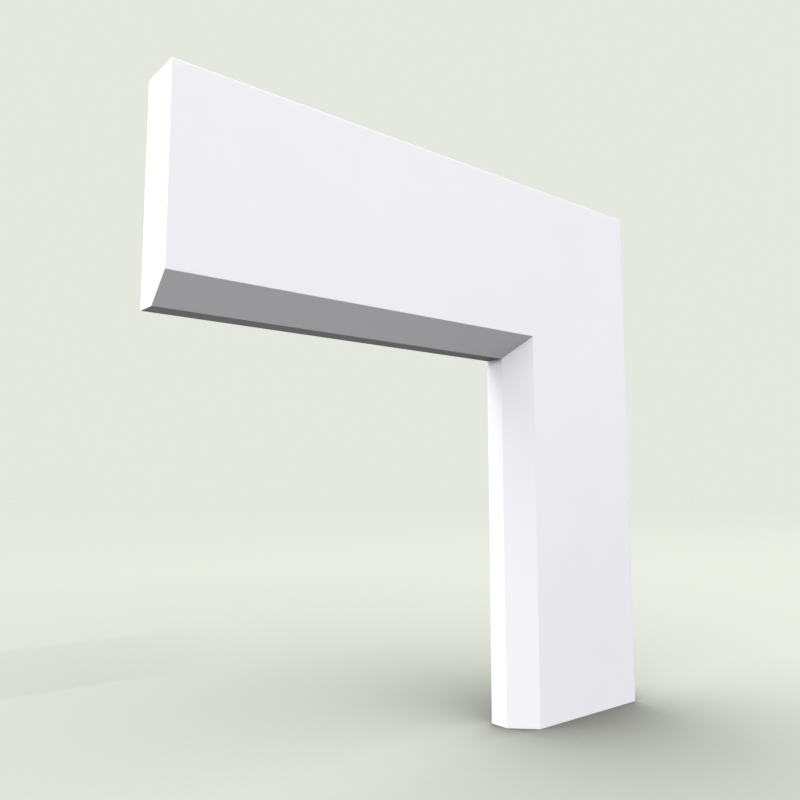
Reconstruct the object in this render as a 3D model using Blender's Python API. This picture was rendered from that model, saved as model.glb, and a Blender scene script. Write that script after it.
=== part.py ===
"""Corner of a door architrave: two lengths of one chamfered moulding, mitred together.

The head runs along +X over the doorway and the leg stands at its right-hand side.
The wall is at y = 0 and the moulding's front face looks along -Y.
The origin is on the wall side, on the leg's centreline, level with the head's underside.
Lengths are in metres and angles in radians.
"""

import math

import bmesh
import bpy
from mathutils import Matrix, Vector

# Driving dimensions
FACE_WIDTH = 0.075  # across the moulding, from its inner edge to its outer edge
THICKNESS = 0.018  # from the wall side to the front face
CHAMFER = 0.0095  # taken off the inner front arris, as much in width as in depth
HEAD_LENGTH = 0.2275  # along the outer edge, from the square end to the mitre's point
LEG_LENGTH = 0.2255  # along the outer edge, from the foot to the mitre's point
ARRIS_RADIUS = 0.0004  # rounding of the arrises that run along the moulding
ARRIS_STEP = math.radians(22.5)  # turn of each flat that a rounded arris is made of
MITRE_GAP = 0.0003  # between the two mitre faces, which touch in the real joint

# Paint, as linear colour
WHITE_PRIMER = (0.86, 0.855, 0.875, 1.0)
PRIMER_ROUGHNESS = 0.55

# Places worked out from the driving dimensions
INNER_EDGE_X = -FACE_WIDTH / 2
OUTER_EDGE_X = FACE_WIDTH / 2
HEAD_END_X = OUTER_EDGE_X - HEAD_LENGTH
FOOT_Z = FACE_WIDTH - LEG_LENGTH
MITRE_CENTRE = Vector((0.0, -THICKNESS / 2, FACE_WIDTH / 2))


def clear_scene():
    """Removes whatever the file opened with."""
    for obj in list(bpy.data.objects):
        bpy.data.objects.remove(obj, do_unlink=True)


def new_collection(name):
    collection = bpy.data.collections.new(name)
    bpy.context.scene.collection.children.link(collection)
    return collection


def primer(name):
    """Smooth white primer, as it leaves the factory."""
    material = bpy.data.materials.new(name)
    material.use_nodes = True
    shader = material.node_tree.nodes["Principled BSDF"]
    shader.inputs["Base Color"].default_value = WHITE_PRIMER
    shader.inputs["Roughness"].default_value = PRIMER_ROUGHNESS
    shader.inputs["Metallic"].default_value = 0.0
    return material


def profile_corners():
    """Sharp corners of the moulding's section, as (across from the inner edge, out from the wall)."""
    return [
        Vector((0.0, 0.0)),
        Vector((FACE_WIDTH, 0.0)),
        Vector((FACE_WIDTH, THICKNESS)),
        Vector((CHAMFER, THICKNESS)),
        Vector((0.0, THICKNESS - CHAMFER)),
    ]


def rounded(corners, radius, step):
    """The anticlockwise outline through these corners, with each of them turned into an arc."""
    outline = []
    for index, corner in enumerate(corners):
        before = (corner - corners[index - 1]).normalized()
        after = (corners[(index + 1) % len(corners)] - corner).normalized()
        turn = math.atan2(before.x * after.y - before.y * after.x, before.dot(after))
        start = corner - before * radius * math.tan(turn / 2)
        centre = start + Vector((-before.y, before.x)) * radius
        flats = max(1, round(turn / step))
        for k in range(flats + 1):
            outline.append(centre + Matrix.Rotation(turn * k / flats, 2) @ (start - centre))
    return outline


def moulding_curve(name, length):
    """A flat outline of the section, extruded to a square-ended length along its own Z."""
    outline = rounded(profile_corners(), ARRIS_RADIUS, ARRIS_STEP)
    curve = bpy.data.curves.new(name, "CURVE")
    curve.dimensions = "2D"
    curve.fill_mode = "BOTH"
    curve.extrude = length / 2
    spline = curve.splines.new("POLY")
    spline.points.add(len(outline) - 1)
    for point, place in zip(spline.points, outline):
        point.co = (place.x, place.y, 0.0, 1.0)
    spline.use_cyclic_u = True
    return bpy.data.objects.new(name, curve)


def turned(across, out):
    """The rotation that lays a section's two directions along these axes and its length along their cross."""
    return Matrix((across, out, across.cross(out))).transposed()


def as_solid(curve_object, collection):
    """The curve's shape as a closed mesh object in the same place. The curve is removed."""
    bpy.context.scene.collection.objects.link(curve_object)
    bpy.context.view_layer.update()
    evaluated = curve_object.evaluated_get(bpy.context.evaluated_depsgraph_get())
    mesh = bpy.data.meshes.new_from_object(evaluated)
    body = bmesh.new()
    body.from_mesh(mesh)
    bmesh.ops.remove_doubles(body, verts=body.verts, dist=ARRIS_RADIUS / 100)
    bmesh.ops.recalc_face_normals(body, faces=body.faces)
    body.to_mesh(mesh)
    body.free()
    name = curve_object.name
    place = curve_object.matrix_world.copy()
    bpy.data.objects.remove(curve_object, do_unlink=True)
    solid = bpy.data.objects.new(name, mesh)
    solid.matrix_world = place
    collection.objects.link(solid)
    return solid


def mitre_waste(name, away, collection):
    """The block that a 45 degree saw cut takes off, on the side of the mitre that away points to."""
    size = 3 * FACE_WIDTH
    away = Vector(away).normalized()
    bpy.ops.mesh.primitive_cube_add(size=size)
    waste = bpy.context.object
    waste.name = name
    along_y = Vector((0.0, 1.0, 0.0))
    waste.rotation_euler = Matrix((away, along_y, away.cross(along_y))).transposed().to_euler()
    waste.location = MITRE_CENTRE + away * (size - MITRE_GAP) / 2
    waste.hide_render = True
    waste.display_type = "WIRE"
    for holder in list(waste.users_collection):
        holder.objects.unlink(waste)
    collection.objects.link(waste)
    return waste


def cut(solid, waste):
    """Takes the waste off the solid and leaves the flat mitre face."""
    saw = solid.modifiers.new("Mitre", "BOOLEAN")
    saw.operation = "DIFFERENCE"
    saw.solver = "EXACT"
    saw.object = waste


def make_head(parts, cutters):
    """The length over the doorway: its inner edge looks down and its square end looks left."""
    curve_object = moulding_curve("architrave_head", HEAD_LENGTH)
    curve_object.rotation_euler = turned(Vector((0, 0, 1)), Vector((0, -1, 0))).to_euler()
    curve_object.location = ((HEAD_END_X + OUTER_EDGE_X) / 2, 0.0, 0.0)
    head = as_solid(curve_object, parts)
    head.data.materials.append(primer("head_primer"))
    cut(head, mitre_waste("mitre_waste_of_head", (1, 0, -1), cutters))


def make_leg(parts, cutters):
    """The length beside the doorway: its inner edge looks left and its foot looks down."""
    curve_object = moulding_curve("architrave_leg", LEG_LENGTH)
    curve_object.rotation_euler = turned(Vector((1, 0, 0)), Vector((0, -1, 0))).to_euler()
    curve_object.location = (INNER_EDGE_X, 0.0, (FOOT_Z + FACE_WIDTH) / 2)
    leg = as_solid(curve_object, parts)
    leg.data.materials.append(primer("leg_primer"))
    cut(leg, mitre_waste("mitre_waste_of_leg", (-1, 0, 1), cutters))


def main():
    clear_scene()
    parts = new_collection("Architrave corner")
    cutters = new_collection("Cutters")
    make_head(parts, cutters)
    make_leg(parts, cutters)


main()
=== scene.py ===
"""The looks of a door architrave's corner: white primed moulding on a plain pale floor.

The head runs along +X, the leg stands at its right-hand end and the wall side is y = 0.
Lengths are in metres, angles in radians and colours linear, unless a name says otherwise.
"""

import math

import bmesh
import bpy
from mathutils import Matrix, Vector


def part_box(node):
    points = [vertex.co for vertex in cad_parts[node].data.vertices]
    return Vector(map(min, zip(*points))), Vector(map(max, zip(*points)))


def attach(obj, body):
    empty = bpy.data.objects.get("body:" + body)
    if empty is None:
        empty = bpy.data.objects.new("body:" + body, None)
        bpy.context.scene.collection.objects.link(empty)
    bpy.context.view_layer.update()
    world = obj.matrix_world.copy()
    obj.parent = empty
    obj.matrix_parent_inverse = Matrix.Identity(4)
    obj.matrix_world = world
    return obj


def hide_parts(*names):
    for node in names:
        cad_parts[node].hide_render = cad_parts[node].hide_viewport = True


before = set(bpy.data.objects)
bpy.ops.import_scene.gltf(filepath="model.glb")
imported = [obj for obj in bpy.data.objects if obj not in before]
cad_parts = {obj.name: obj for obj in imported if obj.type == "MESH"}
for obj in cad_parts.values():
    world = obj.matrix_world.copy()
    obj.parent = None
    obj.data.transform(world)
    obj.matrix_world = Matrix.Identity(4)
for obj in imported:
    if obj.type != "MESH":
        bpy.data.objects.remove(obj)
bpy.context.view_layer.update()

# The moulding's section and its two lengths, from the frame
head_low, head_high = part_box("architrave_head")
leg_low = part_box("architrave_leg")[0]
FACE_WIDTH = head_high.z - head_low.z
THICKNESS = head_high.y - head_low.y
INNER_EDGE_X = leg_low.x
HEAD_END_X = head_low.x
FOOT_Z = leg_low.z

# Details of the section
CHAMFER = 0.0095
ARRIS_RADIUS = 0.0004
ARRIS_FLATS_IN_QUARTER_TURN = 8
CUT_EASE = 0.0002  # the sanded edge round a square cut
CUT_EASE_FLATS = 3
JOINT_EASE = 0.00015  # the sawn edge along the mitre, where the joint isn't filled
WIDE_FACE_WEIGHT = 100  # how far the wide faces rule the shading: 50 treats all alike, 100 is the most

# The places of a length's two materials
PLANED = 0
SAWN = 1

# The camera
CAMERA_PLACE = (-0.27817, -0.23323, -0.05408)
CAMERA_YAW = math.radians(39.464)  # from +Y towards +X
CAMERA_PITCH = math.radians(6.391)  # above level
CAMERA_LENS_MM = 35.09
CAMERA_SENSOR_MM = 36.0
CAMERA_NEAREST = 0.01

# The middle stretch of a noise pattern, which a paint spreads over its whole range
NOISE_LOW = 0.3
NOISE_HIGH = 0.7

# Primer on the planed faces: thin and thick patches, sprayed stipple and faint planing lines
THICK_PRIMER = (0.874, 0.866, 0.915)
THIN_PRIMER = (0.858, 0.849, 0.895)
PATCHES_PER_METRE = 22.0
PATCH_DETAIL = 4.0
SPRAY_MOTTLE_PER_METRE = 420.0
STIPPLE_PER_METRE = 1100.0
STIPPLE_HEIGHT = 0.000006
PLANING_LINES_PER_METRE = 700.0
PLANING_LINE_STRETCH = 60.0
PLANING_LINE_HEIGHT = 0.000003
SMOOTHEST_FACE = 0.5
ROUGHEST_FACE = 0.62

# Primer on the sawn ends: raised fibres and saw lines
SAWN_DETAIL = 3.0
FIBRES_PER_METRE = 2600.0
FIBRE_HEIGHT = 0.000018
SAW_LINES_PER_METRE = 260.0
SAW_LINE_WAVER = 1.5
SAW_LINE_HEIGHT = 0.00001
SMOOTHEST_END = 0.62
ROUGHEST_END = 0.78

# Light from all round, as radiance
SKY_COLOUR = (1.0, 1.0, 1.0)
SKY_RADIANCE = 1.44
GROUND_COLOUR = (0.99, 1.0, 0.96)
GROUND_RADIANCE = 0.13
HORIZON_SOFTNESS = 0.02  # the sine of the elevation where the horizon's blend ends

# Round lamps that light the moulding alone
LAMPS_AIM = (-0.08, -0.009, -0.03)
BACK_LEFT_LAMP = {"place": (-0.644, 0.555, 0.04), "watts": 1.87, "diameter": 0.5}
HIGH_LEFT_LAMP = {"place": (-0.9, 0.1, 0.4), "watts": 2.36, "diameter": 0.3}
FRONT_LEFT_LAMP = {"place": (-1.2, -1.2, 0.4), "watts": 3.29, "diameter": 0.5}
FRONT_LAMP = {"place": (0.33, -1.476, 1.266), "watts": 5.12, "diameter": 0.03}

# A long lamp along X that lights the floor alone. Its length softens the ends of the head's shadow.
FLOOR_LAMP_PLACE = (0.59, -1.45, 1.23)
FLOOR_LAMP_TILT = math.radians(49.0)  # from straight down towards +Y
FLOOR_LAMP_LENGTH = 0.6
FLOOR_LAMP_BREADTH = 0.03
FLOOR_LAMP_WATTS = 8.0

# The floor and the backdrop. The floor's colour is darker near the foot, a painted shade that pales
# with the distance from the foot, and the floor fades with that distance.
# The first colour is the floor by the foot, darkened as painted shade; the second is the floor farther
# out
FLOOR_COLOUR = (0.521, 0.537, 0.486)
FAR_FLOOR_COLOUR = (0.540, 0.557, 0.504)
BACKDROP_COLOUR = (0.787, 0.810, 0.734)
FLOOR_RADIUS = 9.0
FLOOR_SIDES = 128
PAINTED_FLOOR_SHADE_REACH = 0.6
FLOOR_FADE_START = 0.3
FLOOR_FADE_END = 8.0
# How far the painted contact shade on the floor reaches
CONTACT_SHADE_REACH = 0.6


def corners_of_section(inset=0.0):
    """Sharp corners of the section, as (across from the inner edge, out from the wall)."""
    corners = [
        Vector((0.0, 0.0)),
        Vector((FACE_WIDTH, 0.0)),
        Vector((FACE_WIDTH, THICKNESS)),
        Vector((CHAMFER, THICKNESS)),
        Vector((0.0, THICKNESS - CHAMFER)),
    ]
    moved = []
    for index, corner in enumerate(corners):
        before = (corner - corners[index - 1]).normalized()
        after = (corners[(index + 1) % len(corners)] - corner).normalized()
        inward = Vector((-before.y, before.x)) + Vector((-after.y, after.x))
        moved.append(corner + inward * inset / (1 + before.dot(after)))
    return moved


def rounded_section(inset=0.0):
    """Outline of the section, anticlockwise, with each arris an arc. An inset moves it inwards."""
    corners = corners_of_section(inset)
    radius = ARRIS_RADIUS - inset
    outline = []
    for index, corner in enumerate(corners):
        before = (corner - corners[index - 1]).normalized()
        after = (corners[(index + 1) % len(corners)] - corner).normalized()
        turn = math.atan2(before.x * after.y - before.y * after.x, before.dot(after))
        start = corner - before * radius * math.tan(turn / 2)
        centre = start + Vector((-before.y, before.x)) * radius
        flats = round(ARRIS_FLATS_IN_QUARTER_TURN * turn / (math.pi / 2))
        for k in range(flats + 1):
            outline.append(centre + Matrix.Rotation(turn * k / flats, 2) @ (start - centre))
    return outline


def square_end_rings():
    """Rings round the sanded edge of a square cut, as (distance from the cut, outline)."""
    rings = []
    for k in range(CUT_EASE_FLATS + 1):
        angle = math.pi / 2 * k / CUT_EASE_FLATS
        inset = CUT_EASE * (1 - math.sin(angle))
        rings.append((CUT_EASE * (1 - math.cos(angle)), rounded_section(inset)))
    return rings


def joint_outline():
    """Outline of the mitre face: full at the front, eased at the back and the outer edge."""
    full = rounded_section()
    eased = rounded_section(JOINT_EASE)
    outline = []
    for point, inner in zip(full, eased):
        hidden = point.y < ARRIS_RADIUS / 2 or point.x > FACE_WIDTH - ARRIS_RADIUS / 2
        outline.append(inner if hidden else point)
    return outline


def skin(name, rings):
    """A closed mesh over rings of points, from the square cut to the mitre."""
    body = bmesh.new()
    loops = [[body.verts.new(point) for point in ring] for ring in rings]
    for first, second in zip(loops, loops[1:]):
        for i in range(len(first)):
            j = (i + 1) % len(first)
            side = body.faces.new((first[i], first[j], second[j], second[i]))
            side.material_index = PLANED
    square_cut = body.faces.new(loops[0])
    square_cut.material_index = SAWN
    mitre = body.faces.new(loops[-1])
    mitre.material_index = SAWN
    for edge in mitre.edges:
        edge.smooth = False
    bmesh.ops.recalc_face_normals(body, faces=body.faces)
    mesh = bpy.data.meshes.new(name)
    body.to_mesh(mesh)
    body.free()
    mesh.shade_smooth()
    return mesh


def length_of_moulding(name, to_place, square_end, mitre_offset):
    """A length of moulding from its square end to its mitre, where its run is across + mitre_offset."""
    rings = []
    for distance, outline in square_end_rings():
        rings.append([to_place(point.x, point.y, square_end + distance) for point in outline])
    full = rounded_section()
    rings.append([to_place(point.x, point.y, point.x + mitre_offset - JOINT_EASE) for point in full])
    rings.append([to_place(point.x, point.y, point.x + mitre_offset) for point in joint_outline()])
    piece = bpy.data.objects.new(name, skin(name, rings))
    bpy.context.scene.collection.objects.link(piece)
    crisp = piece.modifiers.new("Flat faces stay flat", "WEIGHTED_NORMAL")
    crisp.weight = WIDE_FACE_WEIGHT
    crisp.keep_sharp = True
    return piece


def make_head():
    return length_of_moulding(
        "head_moulding",
        lambda across, out, run: (run, -out, across),
        square_end=HEAD_END_X,
        mitre_offset=INNER_EDGE_X,
    )


def make_leg():
    return length_of_moulding(
        "leg_moulding",
        lambda across, out, run: (INNER_EDGE_X + across, -out, run),
        square_end=FOOT_Z,
        mitre_offset=0.0,
    )


class Paint:
    """A material's node tree, with the few steps that the paints share."""

    def __init__(self, name):
        self.material = bpy.data.materials.new(name)
        self.material.use_nodes = True
        self.nodes = self.material.node_tree.nodes
        self.links = self.material.node_tree.links
        self.shader = self.nodes["Principled BSDF"]
        self.place = self.nodes.new("ShaderNodeTexCoord").outputs["Object"]
        self.normal = None

    def noise(self, scale, detail=2.0, stretch=(1.0, 1.0, 1.0)):
        """Noise with this many features to a metre, drawn out along an axis by a small stretch."""
        mapping = self.nodes.new("ShaderNodeMapping")
        mapping.inputs["Scale"].default_value = stretch
        self.links.new(self.place, mapping.inputs["Vector"])
        texture = self.nodes.new("ShaderNodeTexNoise")
        texture.inputs["Scale"].default_value = scale
        texture.inputs["Detail"].default_value = detail
        self.links.new(mapping.outputs["Vector"], texture.inputs["Vector"])
        return texture.outputs["Fac"]

    def lines(self, scale, direction, distortion):
        """Straight bands across this axis."""
        texture = self.nodes.new("ShaderNodeTexWave")
        texture.bands_direction = direction
        texture.inputs["Scale"].default_value = scale
        texture.inputs["Distortion"].default_value = distortion
        self.links.new(self.place, texture.inputs["Vector"])
        return texture.outputs["Fac"]

    def colour(self, pattern, dark, light):
        """Spreads the colour between these two with the pattern."""
        ramp = self.nodes.new("ShaderNodeValToRGB")
        ramp.color_ramp.elements[0].position = NOISE_LOW
        ramp.color_ramp.elements[0].color = (*dark, 1.0)
        ramp.color_ramp.elements[1].position = NOISE_HIGH
        ramp.color_ramp.elements[1].color = (*light, 1.0)
        self.links.new(pattern, ramp.inputs["Fac"])
        self.links.new(ramp.outputs["Color"], self.shader.inputs["Base Color"])

    def roughness(self, pattern, low, high):
        """Spreads the roughness between these two with the pattern."""
        spread = self.nodes.new("ShaderNodeMapRange")
        spread.inputs["From Min"].default_value = NOISE_LOW
        spread.inputs["From Max"].default_value = NOISE_HIGH
        spread.inputs["To Min"].default_value = low
        spread.inputs["To Max"].default_value = high
        self.links.new(pattern, spread.inputs["Value"])
        self.links.new(spread.outputs["Result"], self.shader.inputs["Roughness"])

    def relief(self, pattern, height):
        """Raises the surface with the pattern, on top of any relief it has already."""
        bump = self.nodes.new("ShaderNodeBump")
        bump.inputs["Distance"].default_value = height
        self.links.new(pattern, bump.inputs["Height"])
        if self.normal:
            self.links.new(self.normal, bump.inputs["Normal"])
        self.normal = bump.outputs["Normal"]
        self.links.new(self.normal, self.shader.inputs["Normal"])


def planed_primer(name, along):
    """Sprayed white primer on a planed face, whose faint lines run along this axis."""
    paint = Paint(name)
    stretch = [1.0, 1.0, 1.0]
    stretch["XYZ".index(along)] = 1 / PLANING_LINE_STRETCH
    paint.colour(paint.noise(PATCHES_PER_METRE, PATCH_DETAIL), THIN_PRIMER, THICK_PRIMER)
    paint.roughness(paint.noise(SPRAY_MOTTLE_PER_METRE), SMOOTHEST_FACE, ROUGHEST_FACE)
    paint.relief(paint.noise(PLANING_LINES_PER_METRE, stretch=stretch), PLANING_LINE_HEIGHT)
    paint.relief(paint.noise(STIPPLE_PER_METRE), STIPPLE_HEIGHT)
    return paint.material


def sawn_primer(name, across):
    """White primer soaked into a sawn end, whose faint lines are spread along this axis."""
    paint = Paint(name)
    fibres = paint.noise(FIBRES_PER_METRE, SAWN_DETAIL)
    paint.colour(paint.noise(SPRAY_MOTTLE_PER_METRE, SAWN_DETAIL), THIN_PRIMER, THICK_PRIMER)
    paint.roughness(fibres, SMOOTHEST_END, ROUGHEST_END)
    paint.relief(paint.lines(SAW_LINES_PER_METRE, across, SAW_LINE_WAVER), SAW_LINE_HEIGHT)
    paint.relief(fibres, FIBRE_HEIGHT)
    return paint.material


def floor_paint():
    """A matt pale paint with painted shade, darker by the foot and where something stands near, that
    turns clear far away.
    """
    material = bpy.data.materials.new("floor")
    material.use_nodes = True
    nodes = material.node_tree.nodes
    links = material.node_tree.links
    nodes.clear()
    place = nodes.new("ShaderNodeTexCoord")
    distance = nodes.new("ShaderNodeVectorMath")
    distance.operation = "LENGTH"
    links.new(place.outputs["Object"], distance.inputs[0])
    fade = nodes.new("ShaderNodeMapRange")
    fade.interpolation_type = "SMOOTHSTEP"
    fade.inputs["From Min"].default_value = FLOOR_FADE_START
    fade.inputs["From Max"].default_value = FLOOR_FADE_END
    links.new(distance.outputs["Value"], fade.inputs["Value"])
    # Painted shade: the floor's colour is darkest at the foot and pales to the far colour a short way
    # out
    pale = nodes.new("ShaderNodeMapRange")
    pale.inputs["From Max"].default_value = PAINTED_FLOOR_SHADE_REACH
    links.new(distance.outputs["Value"], pale.inputs["Value"])
    colours = nodes.new("ShaderNodeValToRGB")
    colours.color_ramp.elements[0].color = (*FLOOR_COLOUR, 1.0)
    colours.color_ramp.elements[1].color = (*FAR_FLOOR_COLOUR, 1.0)
    links.new(pale.outputs["Result"], colours.inputs["Fac"])
    # Painted shade: an occlusion node darkens the floor's colour where the moulding stands near
    shade = nodes.new("ShaderNodeAmbientOcclusion")
    shade.inputs["Distance"].default_value = CONTACT_SHADE_REACH
    links.new(colours.outputs["Color"], shade.inputs["Color"])
    paint = nodes.new("ShaderNodeBsdfDiffuse")
    links.new(shade.outputs["Color"], paint.inputs["Color"])
    gone = nodes.new("ShaderNodeBsdfTransparent")
    mix = nodes.new("ShaderNodeMixShader")
    links.new(fade.outputs["Result"], mix.inputs["Fac"])
    links.new(paint.outputs["BSDF"], mix.inputs[1])
    links.new(gone.outputs["BSDF"], mix.inputs[2])
    output = nodes.new("ShaderNodeOutputMaterial")
    links.new(mix.outputs["Shader"], output.inputs["Surface"])
    return material


def make_floor():
    """A wide pale disc that fades into the backdrop. It neither lights nor shades the moulding."""
    body = bmesh.new()
    bmesh.ops.create_circle(body, cap_ends=True, segments=FLOOR_SIDES, radius=FLOOR_RADIUS)
    mesh = bpy.data.meshes.new("floor")
    body.to_mesh(mesh)
    body.free()
    mesh.materials.append(floor_paint())
    floor = bpy.data.objects.new("floor", mesh)
    floor.location.z = FOOT_Z
    bpy.context.scene.collection.objects.link(floor)
    floor.visible_diffuse = False
    floor.visible_glossy = False
    floor.visible_shadow = False
    return floor


def make_world():
    """A pale backdrop for the camera, and a bright sky over a dim ground for the light."""
    world = bpy.data.worlds.new("studio")
    bpy.context.scene.world = world
    world.use_nodes = True
    nodes = world.node_tree.nodes
    links = world.node_tree.links
    nodes.clear()
    direction = nodes.new("ShaderNodeTexCoord")
    split = nodes.new("ShaderNodeSeparateXYZ")
    links.new(direction.outputs["Generated"], split.inputs["Vector"])
    above = nodes.new("ShaderNodeMapRange")
    above.inputs["From Min"].default_value = -HORIZON_SOFTNESS
    above.inputs["From Max"].default_value = HORIZON_SOFTNESS
    links.new(split.outputs["Z"], above.inputs["Value"])
    upper = nodes.new("ShaderNodeBackground")
    upper.inputs["Color"].default_value = (*SKY_COLOUR, 1.0)
    upper.inputs["Strength"].default_value = SKY_RADIANCE
    lower = nodes.new("ShaderNodeBackground")
    lower.inputs["Color"].default_value = (*GROUND_COLOUR, 1.0)
    lower.inputs["Strength"].default_value = GROUND_RADIANCE
    light = nodes.new("ShaderNodeMixShader")
    links.new(above.outputs["Result"], light.inputs["Fac"])
    links.new(lower.outputs["Background"], light.inputs[1])
    links.new(upper.outputs["Background"], light.inputs[2])
    seen = nodes.new("ShaderNodeBackground")
    seen.inputs["Color"].default_value = (*BACKDROP_COLOUR, 1.0)
    path = nodes.new("ShaderNodeLightPath")
    mix = nodes.new("ShaderNodeMixShader")
    links.new(path.outputs["Is Camera Ray"], mix.inputs["Fac"])
    links.new(light.outputs["Shader"], mix.inputs[1])
    links.new(seen.outputs["Background"], mix.inputs[2])
    output = nodes.new("ShaderNodeOutputWorld")
    links.new(mix.outputs["Shader"], output.inputs["Surface"])


def only(name, pieces):
    """A collection of these pieces, for a lamp that lights them, or is shaded by them, alone."""
    collection = bpy.data.collections.new(name)
    for piece in pieces:
        collection.objects.link(piece)
    return collection


def make_lamp(name, place, watts, width, lit):
    """A soft lamp that lights these pieces alone. The camera doesn't see it."""
    data = bpy.data.lights.new(name, "AREA")
    data.energy = watts
    data.size = width
    lamp = bpy.data.objects.new(name, data)
    lamp.location = place
    lamp.visible_camera = False
    lamp.light_linking.receiver_collection = only(name + "_lights", lit)
    bpy.context.scene.collection.objects.link(lamp)
    return lamp


def make_round_lamps(head, leg):
    lamps = {
        "back_left_lamp": BACK_LEFT_LAMP,
        "high_left_lamp": HIGH_LEFT_LAMP,
        "front_left_lamp": FRONT_LEFT_LAMP,
        "front_lamp": FRONT_LAMP,
    }
    for name, sizes in lamps.items():
        lamp = make_lamp(name, sizes["place"], sizes["watts"], sizes["diameter"], [head, leg])
        lamp.data.shape = "DISK"
        beam = Vector(LAMPS_AIM) - Vector(sizes["place"])
        lamp.rotation_euler = beam.to_track_quat("-Z", "Y").to_euler()


def make_floor_lamp(head, floor):
    lamp = make_lamp("floor_lamp", FLOOR_LAMP_PLACE, FLOOR_LAMP_WATTS, FLOOR_LAMP_LENGTH, [floor])
    lamp.data.shape = "RECTANGLE"
    lamp.data.size_y = FLOOR_LAMP_BREADTH
    lamp.rotation_euler = (FLOOR_LAMP_TILT, 0.0, 0.0)
    lamp.light_linking.blocker_collection = only("floor_lamp_shadows", [head])


def dress(piece, node, along, cut_paint):
    """Paints a length of moulding and has it stand for its CAD node."""
    piece.data.materials.append(planed_primer(piece.name + "_primer", along))
    piece.data.materials.append(cut_paint)
    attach(piece, "root")
    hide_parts(node)


def make_camera():
    data = bpy.data.cameras.new("camera")
    data.lens = CAMERA_LENS_MM
    data.sensor_width = CAMERA_SENSOR_MM
    data.clip_start = CAMERA_NEAREST
    camera = bpy.data.objects.new("camera", data)
    camera.location = CAMERA_PLACE
    camera.rotation_euler = (math.pi / 2 + CAMERA_PITCH, 0.0, -CAMERA_YAW)
    bpy.context.scene.collection.objects.link(camera)
    bpy.context.scene.camera = camera


make_camera()
head = make_head()
leg = make_leg()
cut_paint = sawn_primer("sawn_end_primer", across="Y")
dress(head, "architrave_head", along="X", cut_paint=cut_paint)
dress(leg, "architrave_leg", along="Z", cut_paint=cut_paint)
floor = make_floor()
make_world()
make_round_lamps(head, leg)
make_floor_lamp(head, floor)
# The sky and the lamps alone light each face, and no light is bounced from one thing to another
bpy.context.scene.cycles.max_bounces = 0
bpy.context.scene.view_settings.view_transform = "Standard"
